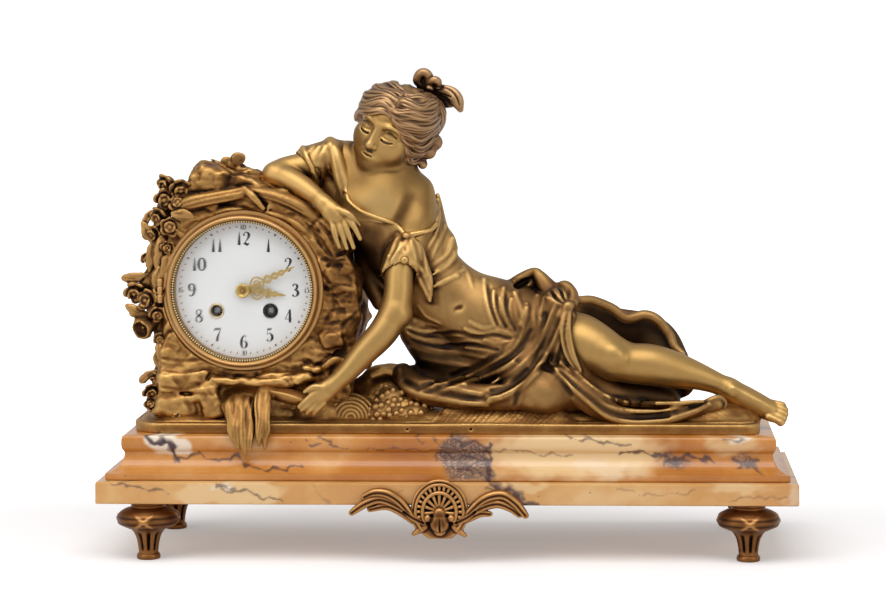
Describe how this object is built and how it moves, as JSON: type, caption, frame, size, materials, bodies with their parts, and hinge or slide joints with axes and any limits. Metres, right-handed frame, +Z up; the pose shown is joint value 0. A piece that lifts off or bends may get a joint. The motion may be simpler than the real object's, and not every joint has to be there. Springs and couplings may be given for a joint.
{
  "type": "table clock",
  "caption": "Mantel clock in a cast rock with a reclining draped figure beside a spring, on a moulded marble base with turned feet and a shell mount.",
  "frame": {"origin": "on the table, under the middle of the clock's box", "axes": "+X to the right along the base, seen from the front; the dial faces -Y; +Z up"},
  "size_m": [0.5, 0.1693, 0.3511],
  "materials": {
    "marble": "polished, veined yellow marble",
    "gilt_mounts": "gilt, with dark recesses",
    "patinated_bronze": "brown and gold patina",
    "gilt_bronze": "satin gilt patina",
    "brass": "polished",
    "steel": "satin",
    "enamel": "white enamel, gloss",
    "clear_glass": "clear, convex"
  },
  "bodies": {
    "case": {"marble_plinth_slab": "marble", "marble_moulded_slab": "marble", "foot_front_left": "gilt_mounts", "foot_front_right": "gilt_mounts", "foot_rear_left": "gilt_mounts", "foot_rear_right": "gilt_mounts", "shell_mount": "gilt_mounts", "terrace": "patinated_bronze", "rock_case": "patinated_bronze", "spring_water": "patinated_bronze", "figure_body": "gilt_bronze", "figure_head": "gilt_bronze", "figure_right_arm": "gilt_bronze", "figure_left_arm": "gilt_bronze", "figure_left_leg": "gilt_bronze", "bezel_frame": "brass", "winding_grommet_left": "brass", "winding_grommet_right": "brass", "suspension_cock": "brass", "bell": "brass", "front_plate": "brass", "back_plate": "brass", "pillar_upper_right": "brass", "pillar_upper_left": "brass", "pillar_lower_left": "brass", "pillar_lower_right": "brass", "rear_bezel": "brass", "tie_bolt_rock": "steel", "tie_bolt_figure": "steel", "bezel_hinge_pin": "steel", "bell_standard": "steel", "rear_hinge_pin": "steel", "strap_left": "steel", "strap_right": "steel", "dial": "enamel"},
    "front_door": {"bezel_door": "brass", "bezel_glass": "clear_glass"},
    "back_door": {"rear_door": "brass"},
    "minute": {"minute_hand": "brass", "hand_collet": "brass", "cannon_pinion": "steel", "centre_arbor": "brass"},
    "hour": {"hour_hand": "brass", "hour_wheel": "brass"},
    "minute_wheel_body": {"minute_wheel": "brass"},
    "second": {"second_wheel": "brass"},
    "going_drum": {"going_barrel": "brass"},
    "third": {"third_wheel": "brass"},
    "escape": {"escape_wheel": "brass"},
    "swinging_pendulum": {"pendulum": "brass"},
    "anchor": {"pallets": "steel"},
    "pins": {"pin_wheel": "brass"},
    "strike_drum": {"strike_barrel": "brass"},
    "fly_vane": {"fly": "brass"},
    "striker": {"hammer": "steel"},
    "going_winder": {"going_arbor": "steel"},
    "strike_winder": {"strike_arbor": "steel"}
  },
  "joints": [
    {"name": "bezel_door_hinge", "type": "hinge", "parent": "case", "child": "front_door", "pos_m": [-0.20995, -0.0303, 0.1901], "axis": [0, 0, -1], "range_deg": [0, 100]},
    {"name": "rear_door_hinge", "type": "hinge", "parent": "case", "child": "back_door", "pos_m": [-0.20995, 0.0483, 0.1901], "axis": [0, 0, 1], "range_deg": [0, 110]},
    {"name": "minute_turn", "type": "hinge", "parent": "case", "child": "minute", "pos_m": [-0.15, 0, 0.1901], "axis": [0, 1, 0], "continuous": true},
    {"name": "hour_turn", "type": "hinge", "parent": "case", "child": "hour", "pos_m": [-0.15, 0, 0.1901], "axis": [0, 1, 0], "continuous": true},
    {"name": "minute_wheel_turn", "type": "hinge", "parent": "case", "child": "minute_wheel_body", "pos_m": [-0.15, 0, 0.1793], "axis": [0, 1, 0], "continuous": true},
    {"name": "second_wheel_turn", "type": "hinge", "parent": "case", "child": "second", "pos_m": [-0.13655, 0, 0.19664], "axis": [0, 1, 0], "continuous": true},
    {"name": "going_barrel_turn", "type": "hinge", "parent": "case", "child": "going_drum", "pos_m": [-0.1305, 0, 0.1751], "axis": [0, 1, 0], "continuous": true},
    {"name": "third_wheel_turn", "type": "hinge", "parent": "case", "child": "third", "pos_m": [-0.15208, 0, 0.20491], "axis": [0, 1, 0], "continuous": true},
    {"name": "escape_wheel_turn", "type": "hinge", "parent": "case", "child": "escape", "pos_m": [-0.15, 0, 0.21663], "axis": [0, 1, 0], "continuous": true},
    {"name": "pendulum_swing", "type": "hinge", "parent": "case", "child": "swinging_pendulum", "pos_m": [-0.15, 0, 0.22763], "axis": [0, 1, 0], "range_deg": [-3, 3]},
    {"name": "pallet_rock", "type": "hinge", "parent": "case", "child": "anchor", "pos_m": [-0.15, 0, 0.22763], "axis": [0, 1, 0], "range_deg": [-3, 3]},
    {"name": "pin_wheel_turn", "type": "hinge", "parent": "case", "child": "pins", "pos_m": [-0.16345, 0, 0.19664], "axis": [0, 1, 0], "continuous": true},
    {"name": "strike_barrel_turn", "type": "hinge", "parent": "case", "child": "strike_drum", "pos_m": [-0.1695, 0, 0.1751], "axis": [0, 1, 0], "continuous": true},
    {"name": "fly_turn", "type": "hinge", "parent": "case", "child": "fly_vane", "pos_m": [-0.16904, 0, 0.20715], "axis": [0, 1, 0], "continuous": true},
    {"name": "hammer_rock", "type": "hinge", "parent": "case", "child": "striker", "pos_m": [-0.18, 0, 0.1981], "axis": [0, 1, 0], "range_deg": [0, 10], "stiffness_Nm_per_rad": 0.005, "springref_deg": -5.73},
    {"name": "going_winding", "type": "hinge", "parent": "case", "child": "going_winder", "pos_m": [-0.1305, 0, 0.1751], "axis": [0, 1, 0], "range_deg": [0, 1800]},
    {"name": "strike_winding", "type": "hinge", "parent": "case", "child": "strike_winder", "pos_m": [-0.1695, 0, 0.1751], "axis": [0, 1, 0], "range_deg": [0, 1800]}
  ],
  "couplings": [
    {"joint": "hour_turn", "follows": "minute_turn", "ratio": 0.083333},
    {"joint": "minute_wheel_turn", "follows": "minute_turn", "ratio": -0.33333},
    {"joint": "second_wheel_turn", "follows": "minute_turn", "ratio": -0.30769},
    {"joint": "going_barrel_turn", "follows": "minute_turn", "ratio": 0.076923},
    {"joint": "third_wheel_turn", "follows": "minute_turn", "ratio": -3.25},
    {"joint": "escape_wheel_turn", "follows": "minute_turn", "ratio": 10.562},
    {"joint": "pallet_rock", "follows": "pendulum_swing", "ratio": 1},
    {"joint": "strike_barrel_turn", "follows": "pin_wheel_turn", "ratio": -0.25},
    {"joint": "fly_turn", "follows": "pin_wheel_turn", "ratio": -3.25}
  ]
}
